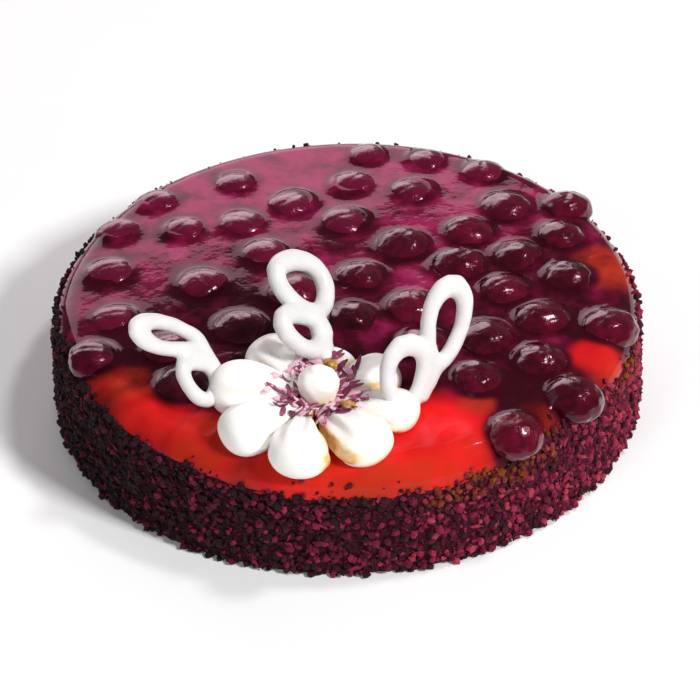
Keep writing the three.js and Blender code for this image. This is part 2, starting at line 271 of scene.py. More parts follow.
# Bead in the flower, in shares of its half sizes, on a foot of a depth below its middle
BEAD_DIVISIONS = 5
BEAD_FOOT = 11.5
BEAD_RIDGES = 6
BEAD_RIDGE_HEIGHT = 0.022
BEAD_RIDGE_TWIST = 5
BEAD_TIP = 0.1
BEAD_TIP_SPAN = (0.86, 1.0)
BEAD_LUMPS = [(0.03, 0.7, 31)]
# Painted shade in golden tones on the bead's lower half: its strength, and the levels where it starts and
# is full
BEAD_SHADE = 0.5
BEAD_SHADE_SPAN = (0.1, -0.6)

# Shavings round the bead: how far out they lie, the cosine of the direction past which they are fewer on
# the left and by what share, their sizes and curls, and the shape numbers of the beta spread of their tones
DROP_HEIGHT = 120
SHAVING_SEED = 21
SHAVING_COUNT = 150
SHAVING_NEAREST = 8.0
SHAVING_SPREAD = 11.0
SHAVING_SPREAD_POWER = 0.8
SPARSE_LEFT = -0.85
SPARSE_SHARE = 0.6
SHAVING_LENGTHS = (4.5, 9.5)
SHAVING_WIDTHS = (1.3, 3.0)
SHAVING_HALF_THICKNESS = 0.22
SHAVING_STEPS = 9
SHAVING_TURN = 0.9
SHAVING_TILTS = (0.0, 0.35)
SHAVING_CURLS = (-0.12, 0.16)
SHAVING_SAG = 0.4
SHAVING_TWISTS = (-0.9, 0.9)
SHAVING_TAPER = 0.7
SHAVING_LIFT = 0.55
SHAVING_TONES = (0.8, 1.0)

# Caramel bits behind the bead and in front of it on the right, as x and y from the flower's middle
CARAMEL_SEED = 33
CARAMEL_DIVISIONS = 2
CARAMEL_PLACES = [(1.5, 13.0), (5.0, 13.5), (3.5, 15.5), (8.5, -9.5), (10.5, -11.5), (12.0, -10.6)]
CARAMEL_SIZES = (1.6, 2.7)
CARAMEL_STRETCH = (0.7, 1.2)
CARAMEL_LUMPS = [(0.45, 0.9, 0)]
CARAMEL_LIFT = 0.4

# Ornaments: how finely their edges are run round, and how far they swell after that
LOOP_VOXEL = 0.45
LOOP_SMOOTHING = 0.5
LOOP_SMOOTHING_ROUNDS = 110
LOOP_SWELL = 0.75
LOOP_WAVES = [(0.3, 6, 12)]

# Camera, as fitted to the photograph
CAMERA_PLACE = (0.0, -0.7616, 0.5844)
CAMERA_TARGET = (0.001, -0.0424, 0.048)
CAMERA_ROLL = -1.51
CAMERA_LENS = 119.4
CAMERA_NEAR = 0.01

# Studio, in metres and watts. A panel aims at a height over the middle of the base, and one that isn't
# glossy doesn't show in reflections.
ROOM_LIGHT = 0.12
FLOOR_HALF = 4
PANELS = [
    {
        "name": "key",
        "place": (1.8, -1.32, 1.8),
        "aim": 0.03,
        "size": (0.5, 0.5),
        "energy": 80,
        "glossy": False,
    },
    {
        "name": "fill",
        "place": (-1.3, -1.7, 1.2),
        "aim": 0.05,
        "size": (0.9, 0.9),
        "energy": 16,
        "glossy": False,
    },
    {
        "name": "sheen",
        "place": (-0.45, 1.45, 0.603),
        "aim": 0.05,
        "size": (1.4, 0.82),
        "energy": 10.2,
        "colour": (1.0, 0.84, 0.9),
    },
    {
        "name": "spark",
        "place": (0.78, 0.19, 1.71),
        "aim": 0.03,
        "size": (0.24, 0.24),
        "energy": 10,
    },
]

# Most of a noise texture's values lie between these
GRAIN_LOW = 0.3
GRAIN_HIGH = 0.7
# Numbers of a mix node's sockets for colours: the factor and both colours, and the result
MIX_INPUTS = (0, 6, 7)
MIX_RESULT = 2
# Steps between the stretches of noise that different seeds use
SEED_STRIDES = (17.3, 5.1, 9.7)


# Numbers and meshes


def smooth_step(low, high, value):
    """0 below low, 1 above high and a smooth rise between."""
    t = np.clip((value - low) / (high - low), 0, 1)
    return t * t * (3 - 2 * t)


def between(span, share):
    """The value at a share of the way through a span."""
    return span[0] + share * (span[1] - span[0])


def wave(points, size, seed):
    """Smooth noise from -1 to 1 at points, with features of about the given size."""
    offset = Vector([stride * seed for stride in SEED_STRIDES])
    return np.array([noise.noise(Vector(p) / size + offset) for p in points.tolist()])


def waves(points, parts, shift=0):
    """The sum of a list of waves, with their seeds shifted by a number."""
    return sum(height * wave(points, size, seed + shift) for height, size, seed in parts)


def node_points(name):
    """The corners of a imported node, in millimetres."""
    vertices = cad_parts[name].data.vertices
    flat = np.zeros(len(vertices) * 3)
    vertices.foreach_get("co", flat)
    return flat.reshape(-1, 3) / MM


def make_piece(name, points, faces, material, replaced=None, smooth=True, values=None):
    """A mesh piece from points in millimetres, with named values at its points."""
    mesh = bpy.data.meshes.new(name)
    mesh.from_pydata((np.asarray(points) * MM).tolist(), [], faces)
    for key, data in (values or {}).items():
        layer = mesh.attributes.new(key, "FLOAT", "POINT")
        layer.data.foreach_set("value", np.asarray(data, np.float32))
    mesh.polygons.foreach_set("use_smooth", [smooth] * len(mesh.polygons))
    mesh.materials.append(material)
    mesh.update()
    piece = bpy.data.objects.new(name, mesh)
    bpy.context.scene.collection.objects.link(piece)
    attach(piece, BODY)
    if replaced:
        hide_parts(replaced)


def grid_faces(rows, columns):
    """Quads of a grid of rows of closed rings."""
    row, column = np.meshgrid(np.arange(rows - 1), np.arange(columns), indexing="ij")
    here = row * columns + column
    beside = row * columns + (column + 1) % columns
    quads = np.stack([here, beside, beside + columns, here + columns], -1)
    return quads.reshape(-1, 4).tolist()


def closed_rings(rings, low_end, high_end):
    """Points and faces of a stack of rings (rows x columns x 3), closed by a fan to a point at each end."""
    rows, columns, _ = rings.shape
    points = np.concatenate([rings.reshape(-1, 3), [low_end], [high_end]])
    faces = grid_faces(rows, columns)
    low, high = rows * columns, rows * columns + 1
    last = (rows - 1) * columns
    for column in range(columns):
        after = (column + 1) % columns
        faces.append([low, after, column])
        faces.append([high, last + column, last + after])
    return points, faces


def stack_faces(start, rings, corners):
    """Faces of a small stack of rings with flat ends, whose points are numbered from a start."""
    faces = []
    for ring in range(rings - 1):
        low = start + corners * ring
        high = low + corners
        for k in range(corners):
            after = (k + 1) % corners
            faces.append([low + k, low + after, high + after, high + k])
    last = start + corners * (rings - 1)
    faces.append([start + k for k in reversed(range(corners))])
    faces.append([last + k for k in range(corners)])
    return faces


def turned(radius, height, directions):
    """Points at a radius and height, turned about the upright axis to directions in radians."""
    return np.stack([radius * np.cos(directions), radius * np.sin(directions), height], -1)


def icosphere(subdivisions):
    """Unit directions and triangles of an evenly divided ball."""
    ball = bmesh.new()
    bmesh.ops.create_icosphere(ball, subdivisions=subdivisions, radius=1)
    ball.verts.ensure_lookup_table()
    points = np.array([v.co for v in ball.verts])
    faces = [[v.index for v in f.verts] for f in ball.faces]
    ball.free()
    return points, faces


# Materials


def new_material(name):
    material = bpy.data.materials.new(name)
    material.use_nodes = True
    return material, material.node_tree, material.node_tree.nodes["Principled BSDF"]


def set_input(tree, socket, value):
    """Sets an input socket to a value, or links it to an output socket."""
    if isinstance(value, bpy.types.NodeSocket):
        tree.links.new(value, socket)
    else:
        socket.default_value = value


def add_node(tree, kind, **inputs):
    """A node with its inputs set by name."""
    node = tree.nodes.new(kind)
    for key, value in inputs.items():
        set_input(tree, node.inputs[key.replace("_", " ")], value)
    return node


def grain(tree, size, detail=4.0, rough=0.55):
    """Noise in the frame's own coordinates, with features of a size in millimetres."""
    place = tree.nodes.new("ShaderNodeTexCoord").outputs["Object"]
    scale = 1 / (size * MM)
    node = add_node(tree, "ShaderNodeTexNoise", Vector=place, Scale=scale, Detail=detail, Roughness=rough)
    return node.outputs["Fac"]


def value_at_points(tree, name):
    """The named value that a piece carries at its points."""
    node = tree.nodes.new("ShaderNodeAttribute")
    node.attribute_name = name
    return node.outputs["Fac"]


def ramp(tree, factor, stops):
    """Colours (linear red, green, blue) along a factor from 0 to 1."""
    node = add_node(tree, "ShaderNodeValToRGB", Fac=factor)
    band = node.color_ramp
    while len(band.elements) < len(stops):
        band.elements.new(0.5)
    for element, (place, colour) in zip(band.elements, stops):
        element.position = place
        element.color = (*colour, 1)
    return node.outputs["Color"]


def spread(tree, factor, low, high):
    """A noise texture's usual values stretched to low..high."""
    usual = {"From_Min": GRAIN_LOW, "From_Max": GRAIN_HIGH}
    node = add_node(tree, "ShaderNodeMapRange", Value=factor, To_Min=low, To_Max=high, **usual)
    return node.outputs["Result"]


def blend(tree, factor, first, second):
    """A mix of two colours by a factor; the second is a socket or a linear colour."""
    node = tree.nodes.new("ShaderNodeMix")
    node.data_type = "RGBA"
    colour = (*second, 1) if isinstance(second, tuple) else second
    for number, value in zip(MIX_INPUTS, (factor, first, colour)):
        set_input(tree, node.inputs[number], value)
    return node.outputs[MIX_RESULT]


def math_node(tree, operation, first, second):
    node = tree.nodes.new("ShaderNodeMath")
    node.operation = operation
    for socket, value in zip(node.inputs, (first, second)):
        set_input(tree, socket, value)
    return node.outputs[0]


def dress(tree, shader, colour, patch, roughness):
    """Links a colour, and a roughness that varies over patches of a size in millimetres."""
    tree.links.new(colour, shader.inputs["Base Color"])
    tree.links.new(spread(tree, grain(tree, patch), *roughness), shader.inputs["Roughness"])


def bump(tree, shader, height, depth):
    """A fine relief of a depth in millimetres from a height of 0 to 1."""
    node = add_node(tree, "ShaderNodeBump", Height=height, Distance=depth * MM, Strength=1.0)
    tree.links.new(node.outputs["Normal"], shader.inputs["Normal"])


def set_shader(shader, **settings):
    for key, value in settings.items():
        shader.inputs[key.replace("_", " ")].default_value = value


def crumb_material():
    """Dark chocolate crumbs: each has its own tone, plus painted light, lighter on the right and darker on
    the left.
    """
    material, tree, shader = new_material("chocolate_crumbs")
    speck = spread(tree, grain(tree, 1.1), -0.12, 0.12)
    colour = ramp(
        tree,
        math_node(tree, "ADD", value_at_points(tree, "tone"), speck),
        [
            (0.0, (0.013, 0.010, 0.011)),
            (0.35, (0.040, 0.008, 0.014)),
            (0.75, (0.21, 0.015, 0.047)),
            (1.0, (0.34, 0.040, 0.066)),
        ],
    )
    colour = blend(tree, value_at_points(tree, "brown"), colour, (0.20, 0.05, 0.007))
    dress(tree, shader, colour, 2.0, (0.55, 0.9))
    bump(tree, shader, grain(tree, 0.5), 0.25)
    set_shader(shader, Specular_IOR_Level=0.12)
    return material


def coat_material():
    """The crushed crumbs between the larger ones, with painted light: lighter on the right, darker on the
    left.
    """
    material, tree, shader = new_material("crumb_coat")
    mix = math_node(tree, "ADD", grain(tree, 1.6, detail=6, rough=0.7), value_at_points(tree, "tone"))
    colour = ramp(
        tree,
        mix,
        [
            (0.3, (0.008, 0.004, 0.005)),
            (0.5, (0.030, 0.005, 0.010)),
            (0.75, (0.13, 0.013, 0.034)),
        ],
    )
    dress(tree, shader, colour, 1.2, (0.65, 0.95))
    bump(tree, shader, grain(tree, 0.9, detail=5, rough=0.7), 0.6)
    set_shader(shader, Specular_IOR_Level=0.12)
    return material


def jelly_material():
    """Red fruit jelly: bright where bare, wine with painted shade and sheen between the cherries, brown-red
    where thin.
    """
    material, tree, shader = new_material("red_jelly")
    mottle = spread(tree, grain(tree, 12, detail=5), -0.6, 0.4)
    # Wine from dark, with painted shade at the cherries and in spots, to pale mauve, a painted sheen
    # towards the back
    dark = ramp(
        tree,
        math_node(tree, "ADD", value_at_points(tree, "wine"), mottle),
        [
            (0.0, (0.032, 0.002, 0.006)),
            (0.45, (0.10, 0.003, 0.019)),
            (1.0, (0.27, 0.012, 0.072)),
        ],
    )
    red = ramp(tree, grain(tree, 14), [(0.35, (0.62, 0.008, 0.010)), (0.65, (0.78, 0.013, 0.015))])
    colour = blend(tree, value_at_points(tree, "bright"), dark, red)
    patches = spread(tree, grain(tree, 12), 0.25, 1.0)
    thin = math_node(tree, "MULTIPLY", value_at_points(tree, "thin"), patches)
    colour = blend(tree, thin, colour, (0.42, 0.028, 0.009))
    dress(tree, shader, colour, 6, (0.04, 0.1))
    bump(tree, shader, grain(tree, 6, detail=2), 0.1)
    set_shader(shader, IOR=1.3, Specular_Tint=(1.0, 0.35, 0.55, 1))
    set_shader(shader, Subsurface_Weight=0.2, Subsurface_Scale=0.004)
    set_shader(shader, Subsurface_Radius=(1, 0.15, 0.12))
    return material


def cherry_material():
    """Dark pitted cherries under a film of jelly, which is thicker towards the back left."""
    material, tree, shader = new_material("cherry_skin")
    mottle = math_node(tree, "ADD", grain(tree, 5, detail=5), value_at_points(tree, "tone"))
    colour = ramp(
        tree,
        mottle,
        [
            (0.25, (0.026, 0.0010, 0.0045)),
            (0.5, (0.060, 0.0017, 0.009)),
            (0.75, (0.11, 0.003, 0.015)),
        ],
    )
    patches = spread(tree, grain(tree, 7), 0.4, 0.8)
    film = math_node(tree, "MULTIPLY", value_at_points(tree, "film"), patches)
    colour = blend(tree, film, colour, (0.13, 0.004, 0.030))
    dress(tree, shader, colour, 3, (0.08, 0.22))
    bump(tree, shader, grain(tree, 2.2, detail=4), 0.35)
    set_shader(shader, IOR=1.4, Specular_Tint=(1.0, 0.35, 0.55, 1))
    set_shader(shader, Coat_Weight=0.7, Coat_Roughness=0.06, Coat_IOR=1.33)
    return material


def cream_material():
    """Whipped cream: nearly white, with painted shade from ivory to caramel in folds, low down and under
    the bead.
    """
    material, tree, shader = new_material("whipped_cream")
    patches = spread(tree, grain(tree, 6), 0.45, 1.0)
    # Painted shade: ivory, gold and brown where the cream lies in folds, low down and under the bead
    colour = ramp(
        tree,
        math_node(tree, "MULTIPLY", value_at_points(tree, "fold_shade"), patches),
        [
            (0.0, (0.93, 0.90, 0.86)),
            (0.4, (0.92, 0.80, 0.58)),
            (0.8, (0.72, 0.42, 0.14)),
            (1.0, (0.42, 0.20, 0.045)),
        ],
    )
    dress(tree, shader, colour, 4, (0.4, 0.6))
    bump(tree, shader, grain(tree, 1.0, detail=5), 0.18)
    set_shader(shader, Subsurface_Weight=0.35, Subsurface_Scale=0.003, Subsurface_Radius=(1, 0.7, 0.45))
    return material


def white_chocolate_material():
    """White chocolate with a satin skin."""
    material, tree, shader = new_material("white_chocolate")
    colour = ramp(tree, grain(tree, 8, detail=5), [(0.3, (0.64, 0.63, 0.62)), (0.7, (0.70, 0.69, 0.685))])
    dress(tree, shader, colour, 3, (0.28, 0.45))
    bump(tree, shader, grain(tree, 2.5, detail=3), 0.2)
    set_shader(shader, Subsurface_Weight=0.2, Subsurface_Scale=0.002, Subsurface_Radius=(1, 0.8, 0.6))
    return material


def shaving_material():
    """Fruit chocolate shavings, from pink to dark wine."""
    material, tree, shader = new_material("shavings")
    speck = spread(tree, grain(tree, 1.5), -0.1, 0.1)
    colour = ramp(
        tree,
        math_node(tree, "ADD", value_at_points(tree, "tone"), speck),
        [
            (0.0, (0.12, 0.012, 0.04)),
            (0.4, (0.30, 0.06, 0.13)),
            (0.6, (0.68, 0.34, 0.45)),
            (1.0, (0.85, 0.58, 0.68)),
        ],
    )
    dress(tree, shader, colour, 2, (0.4, 0.6))
    bump(tree, shader, grain(tree, 0.7), 0.15)
    return material


def caramel_material():
    """Small bits of caramel brittle."""
    material, tree, shader = new_material("caramel_bits")
    colour = ramp(tree, grain(tree, 2), [(0.3, (0.24, 0.10, 0.015)), (0.7, (0.62, 0.36, 0.09))])
    dress(tree, shader, colour, 1.5, (0.2, 0.45))
    bump(tree, shader, grain(tree, 0.8), 0.2)
    return material


# Crumb coat


def crumb_edge(directions):
    """How far up the outline the coat reaches, at directions in radians."""
    angles, rises = zip(*CRUMB_EDGE)
    rise = np.interp(np.degrees(directions), angles, rises)
    round_line = turned(BASE_RADIUS, np.zeros_like(directions), directions)
    return rise + waves(round_line, EDGE_WAVES)


def coat_place(rise, directions, proud):
    """Points that stand proud of the coat's outline, and the outward directions there."""
    over = np.clip((rise - SIDE_HEIGHT) / SHOULDER, 0, None)
    taper = (BASE_RADIUS - SIDE_TOP_RADIUS) * (1 - np.clip(rise / SIDE_HEIGHT, 0, 1))
    radius = SHOULDER_START + taper + (SHOULDER + proud) * np.cos(over)
    height = np.minimum(rise, SIDE_HEIGHT) + (SHOULDER + proud) * np.sin(over)
    return turned(radius, height, directions), turned(np.cos(over), np.sin(over), directions)


def build_coat(material):
    """The coat itself: the side, the part that climbs the jelly's shoulder, and the hidden core."""
    directions = np.linspace(-math.pi, math.pi, COAT_COLUMNS, endpoint=False)
    edge = crumb_edge(directions)
    rows = []
    for row in range(COAT_ROWS):
        rise = BASE_BEVEL + row / (COAT_ROWS - 1) * (edge - BASE_BEVEL)
        points, out = coat_place(rise, directions, COAT_PROUD)
        relief = waves(points, COAT_WAVES)
        rows.append(points + out * relief[:, None])
    foot, _ = coat_place(np.zeros_like(directions), directions, -BASE_BEVEL)
    tuck, _ = coat_place(edge + TUCK_RISE, directions, -TUCK_DEPTH)
    rings = np.stack([foot, *rows, tuck])
    points, faces = closed_rings(rings, (0, 0, 0), (0, 0, SIDE_HEIGHT - CORE_DROP))
    # Painted light and shade: the coat is lighter on the right and darker on the left
    tone = COAT_PAINTED_LIGHT_SHARE * PAINTED_LIGHT_SLANT * points[:, 0] / BASE_RADIUS
    make_piece("crumb_coat", points, faces, material, "cake_body", values={"tone": tone})


def scatter_places(count, strays, random):
    """Rises and directions of crumbs all over the coat, and of a few strays above its edge."""
    directions = random.uniform(-math.pi, math.pi, count + strays)
    edge = crumb_edge(directions)
    rise = CRUMB_LOWEST + random.uniform(0, 1, count + strays) * (edge - CRUMB_LOWEST)
    rise[count:] = edge[count:] + random.exponential(STRAY_REACH, strays)
    return np.minimum(rise, CRUMB_HIGHEST), directions


def brown_share(rise, directions):
    """How brown the crumbs are at rises and directions on the coat."""
    share = np.zeros_like(rise)
    for middle, half in BROWN_STRETCHES:
        away = np.abs(np.degrees(directions) - middle)
        share = np.maximum(share, smooth_step(half, SPOT_CORE * half, away))
    return share * smooth_step(*BROWN_RISE, rise)


def build_crumbs(material):
    """Loose lumps of crumb pressed into the coat."""
    random = np.random.default_rng(CRUMB_SEED)
    ball, faces = icosphere(CRUMB_DIVISIONS)
    rise, directions = scatter_places(CRUMB_COUNT, CRUMB_STRAYS, random)
    total = len(rise)
    size = between(CRUMB_SIZES, random.power(CRUMB_SIZE_POWER, total))
    size[CRUMB_COUNT:] = np.minimum(size[CRUMB_COUNT:], STRAY_SIZE)
    points, out = coat_place(rise, directions, CRUMB_PROUD)
    points = points + out * (CRUMB_PROUD_SHARE * size)[:, None]
    lumps = ball[None] * random.uniform(*CRUMB_BUMPS, (total, len(ball), 1))
    lumps = lumps * random.uniform(*CRUMB_STRETCH, (total, 1, 3))
    turns = [np.array(Quaternion(q).normalized().to_matrix()) for q in random.normal(size=(total, 4))]
    lumps = np.einsum("nij,nkj->nki", np.array(turns), lumps) * size[:, None, None]
    lumps = lumps + points[:, None]
    lumps[:, :, 2] = np.maximum(lumps[:, :, 2], CRUMB_CLEARANCE)
    # Painted light and shade: the crumbs are lighter on the right and darker on the left
    painted_light = PAINTED_LIGHT_SLANT * points[:, 0] / BASE_RADIUS
    tone = (1 + painted_light) * random.beta(*CRUMB_TONES, total) + waves(points, CRUMB_TONE_WAVES)
    tone = np.clip(tone + CRUMB_PAINTED_LIGHT_SHARE * painted_light, 0, 1)
    brown = brown_share(rise, directions) * random.uniform(0, 1, total)
    triangles = np.array(faces)[None] + np.arange(total)[:, None, None] * len(ball)
    make_piece(
        "loose_crumbs",
        lumps.reshape(-1, 3),
        triangles.reshape(-1, 3).tolist(),
        material,
        smooth=False,
        values={"tone": np.repeat(tone, len(ball)), "brown": np.repeat(brown, len(ball))},
    )


def flake_points(middle, away, random):
    """Both faces of one bent shard, turned and tilted at random on the coat."""
    across = Vector(random.normal(size=3)).cross(away).normalized()
    along = (across.cross(away) + away * random.uniform(-FLAKE_TILT, FLAKE_TILT)).normalized()
    across = along.cross(across.cross(along)).normalized()
    face = along.cross(across)
    length, width, thickness = [random.uniform(*span) for span in FLAKE_HALF_SIZES]
    points = []
    for level in (-1, 1):
        for u, v in FLAKE_OUTLINE:
            bend = FLAKE_BEND * length * u * u
            spot = middle + along * (u * length) + across * (v * width)
            points.append(spot + face * (level * thickness + bend))
    return points


def build_flakes(material):
    """Thin shards of grated chocolate that lie on the coat at all angles."""
    random = np.random.default_rng(FLAKE_SEED)
    rise, directions = scatter_places(FLAKE_COUNT, 0, random)
    centre, out = coat_place(np.maximum(rise, FLAKE_LOWEST), directions, FLAKE_PROUD)
    points, faces, tones = [], [], []
    for middle, away in zip(centre, out):
        shard = flake_points(Vector(middle), Vector(away), random)
        # Painted light and shade: the flakes are lighter on the right and darker on the left
        tone = random.uniform(*FLAKE_TONES) + PAINTED_LIGHT_SLANT * middle[0] / BASE_RADIUS
        faces += stack_faces(len(points), 2, len(FLAKE_OUTLINE))
        points += shard
        tones += [tone] * len(shard)
    make_piece(
        "chocolate_flakes",
        np.array(points),
        faces,
        material,
        smooth=False,
        values={"tone": tones},
    )


# Cherries and jelly


def stance(name):
    """Middle, own axes (columns) and half sizes of a packed cherry."""
    points = node_points(name)
    middle = (points.max(0) + points.min(0)) / 2
    _, axes = np.linalg.eigh(np.cov((points - middle).T))
    if np.linalg.det(axes) < 0:
        axes[:, 0] *= -1
    half = np.abs((points - middle) @ axes).max(0)
    return middle, axes, half


def towards_back(x, y):
    """0 in front and on the right, 1 at the back and on the left."""
    return smooth_step(*SUNK_SPAN, y - SUNK_SHARE_OF_X * x)


def build_cherry(number, name, place, ball, faces, material):
    """A pitted cherry: dimpled at one end, creased along its suture, slightly lumpy and wrinkled."""
    middle, axes, half = place
    film = towards_back(middle[0], middle[1])
    lumps = waves(ball, CHERRY_LUMPS, number)
    wrinkles = waves(ball, CHERRY_WRINKLES, number)
    end = ball[:, 2] if number % 2 else -ball[:, 2]
    dimple = DIMPLE_DEPTH * np.exp(-((1 - end) / DIMPLE_WIDTH))
    crease = SUTURE_DEPTH * np.exp(-((ball[:, 1] / SUTURE_WIDTH) ** 2))
    suture = crease * smooth_step(*SUTURE_SPAN, ball[:, 0])
    radius = 1.0 + lumps + (1 - SUNK_SMOOTHNESS * film) * wrinkles - dimple - suture
    points = middle + (ball * radius[:, None] * half) @ axes.T
    tone = CHERRY_TONE * math.sin(CHERRY_TONE_STRIDE * number)
    make_piece(
        f"cherry_fruit_{number:02d}",
        points,
        faces,
        material,
        name,
        values={"tone": np.full(len(points), tone), "film": np.full(len(points), film)},
    )


def cherry_nearness(x, y, stances):
    """Height that the jelly climbs at the cherries, and distance to the nearest cherry's edge."""
    climb = np.zeros_like(x)
    nearest = np.full_like(x, np.inf)
    for middle, axes, half in stances:
        flat = axes[:2] * half
        inverse = np.linalg.inv(flat @ flat.T)
        dx, dy = x - middle[0], y - middle[1]
        share = np.sqrt(inverse[0, 0] * dx * dx + 2 * inverse[0, 1] * dx * dy + inverse[1, 1] * dy * dy)
        size = np.mean(half[1:])
        sunken = towards_back(middle[0], middle[1])
        rise = between(MENISCUS_HEIGHT, sunken)
        reach = between(MENISCUS_REACH, sunken)
        level = (JELLY_TOP + rise - middle[2]) / np.linalg.norm(axes[2] * half)
        waterline = math.sqrt(1 - level * level)
        climb += (rise * np.exp(-np.maximum(share - waterline, 0) * size / reach)) ** 2
        nearest = np.minimum(nearest, (share - 1) * size)
    return np.sqrt(climb), nearest


def round_spot(dx, dy, size, core=SPOT_CORE):
    """1 in the core of a spot and 0 beyond its radius, at distances from its middle."""
    return smooth_step(size, core * size, np.hypot(dx, dy))


def jelly_looks(x, y, radius, nearest):
    """The wine, with painted sheen, shade and highlights, and the shares of bright bare jelly and of thin
    brown jelly.
    """
    bright = np.zeros_like(x)
    for spot_x, spot_y, size, share in BARE_SPOTS:
        bright = np.maximum(bright, share * round_spot(x - spot_x, y - spot_y, size))
    # Spots of painted shade, and of painted highlight where their depth is negative
    shade_and_highlight = np.zeros_like(x)
    for spot_x, spot_y, size, depth in SHADE_AND_HIGHLIGHT_SPOTS:
        shade_and_highlight += depth * round_spot(x - spot_x, y - spot_y, size, SHADE_SPOT_CORE)
    front = smooth_step(*FRONT_SPAN, y)
    off_middle = smooth_step(*RIM_SPAN, np.abs(x - RIM_MIDDLE))
    # Painted shade along the front shoulder, left and right of the middle
    rim_shade = front * off_middle * smooth_step(*RIM_RADII, radius)
    thin = front * (1 - RIM_COVER * rim_shade) * smooth_step(*THIN_RADII, radius)
    for spot_x, spot_y, size in BROWN_SPOTS:
        thin = np.maximum(thin, round_spot(x - spot_x, y - spot_y, size))
    # Painted sheen: the wine is paler towards the back, less so on the right
    pale = smooth_step(*PAINTED_SHEEN_SPAN, y - PAINTED_SHEEN_SHARE_OF_X * np.maximum(x, 0))
    unshaded = between((SHADE_RELIEF * pale, 1), smooth_step(*SHADE_SPAN, nearest))
    wine = between((FRONT_WINE, 1), pale) * unshaded
    clear = smooth_step(*CLEAR_SPAN, nearest)
    return {
        "wine": wine - PAINTED_SHADE_DARKNESS * (shade_and_highlight + RIM_SHADE_SHARE * rim_shade),
        "bright": bright * (1 - RIM_DIMNESS * rim_shade) * clear,
        "thin": thin * clear,
    }


def build_jelly(material, stances):
    """The jelly: nearly level, climbing a little at each cherry, round at its shoulder, with a low lip."""
    directions = np.linspace(-math.pi, math.pi, JELLY_COLUMNS, endpoint=False)
    over = np.arange(1, SHOULDER_ROWS + 1) / SHOULDER_ROWS * math.pi / 2
    level_radii = np.linspace(JELLY_EYE, SHOULDER_START, JELLY_ROWS)
    radii = np.append(level_radii, SHOULDER_START + SHOULDER * np.sin(over))
    heights = np.append(np.full(JELLY_ROWS, JELLY_TOP), SIDE_HEIGHT + SHOULDER * np.cos(over))
    radius = np.repeat(radii[:, None], JELLY_COLUMNS, 1)
    height = np.repeat(heights[:, None], JELLY_COLUMNS, 1)
    rings = turned(radius, height, directions[None])
    flat = rings.reshape(-1, 3)
    x, y = flat[:, 0], flat[:, 1]
    climb, nearest = cherry_nearness(x, y, stances)
    level = smooth_step(SIDE_TOP_RADIUS, SHOULDER_START + LEVEL_MARGIN, radius.ravel())
    ripple = (1 - SUNK_CALM * towards_back(x, y)) * waves(flat, JELLY_WAVES)
    rings[:, :, 2] += ((climb + ripple) * level).reshape(radius.shape)
    lip = np.minimum(SIDE_HEIGHT - LIP_DROP, crumb_edge(directions) - LIP_COVER)
    lip_rings = []
    for share, proud in LIP_ROWS:
        down = SIDE_HEIGHT + share * (lip - SIDE_HEIGHT)
        lip_rings.append(turned(SIDE_TOP_RADIUS + proud, down, directions))
    rings = np.concatenate([rings, lip_rings])
    points, faces = closed_rings(rings[::-1], (0, 0, SIDE_HEIGHT - JELLY_FLOOR_DROP), (0, 0, JELLY_TOP))
    values = {}
    for key, value in jelly_looks(x, y, radius.ravel(), nearest).items():
        rows = value.reshape(radius.shape)
        rows = np.concatenate([rows, np.repeat(rows[-1:], len(LIP_ROWS), 0)])[::-1]
        values[key] = np.append(rows.ravel(), [0, 0])
    make_piece("jelly_layer", points, faces, material, "cherry_jelly", values=values)


# Cream flower


def soft_limit(value, limit, blur):
    """A value kept below a limit, with a rounded change over the given blur."""
    return -blur * np.log(np.exp(-value / blur) + np.exp(-limit / blur))


def jelly_height(radius):
    """Height of the jelly's bare surface at a distance from the axis."""
    out = np.clip((radius - SIDE_TOP_RADIUS + SHOULDER) / SHOULDER, 0, 1)
    return SIDE_HEIGHT + (JELLY_TOP - SIDE_HEIGHT) * np.sqrt(1 - out * out)


def seam_limits(number, along, side):
    """How wide a petal may be up to its seams, and where on it the open seam is the nearer one."""
    half_sector = math.pi / PETAL_COUNT
    split = np.where(side > 0, number == OPEN_SEAM, number == OPEN_SEAM + 1)
    seam_turn = half_sector + split * np.sign(side) * math.radians(SEAM_SLANT)
    past_pivot = along - SEAM_PIVOT * math.cos(half_sector)
    limit = SEAM_PIVOT * math.sin(half_sector) + past_pivot * np.tan(seam_turn)
    gape = split * SEAM_GAP * smooth_step(*SEAM_GAP_SPAN, along)
    return np.maximum(limit - gape, SEAM_LEAST) - PETAL_CLEARANCE, split


def painted_fold_shade(turn, along, press, split, over_jelly, right):
    """Painted shade in golden tones on the cream: in the folds on the flower's right, and along the open
    seam.
    """
    contact = smooth_step(*FOLD_PRESS, press) * smooth_step(*FOLD_REACH, along)
    low = smooth_step(*FOLD_LEVEL, over_jelly)
    folds = (CONTACT_SHADE * contact + LOW_SHADE * low) * smooth_step(*FOLD_RIGHT, right)
    flank = smooth_step(*FLANK_SPAN, np.abs(np.cos(turn))) * smooth_step(*FLANK_REACH, along)
    seam = split * np.maximum(FLANK_SHADE * flank, SEAM_SHADE * smooth_step(*SEAM_PRESS, press))
    return np.clip(np.maximum(folds, seam), 0, 1)


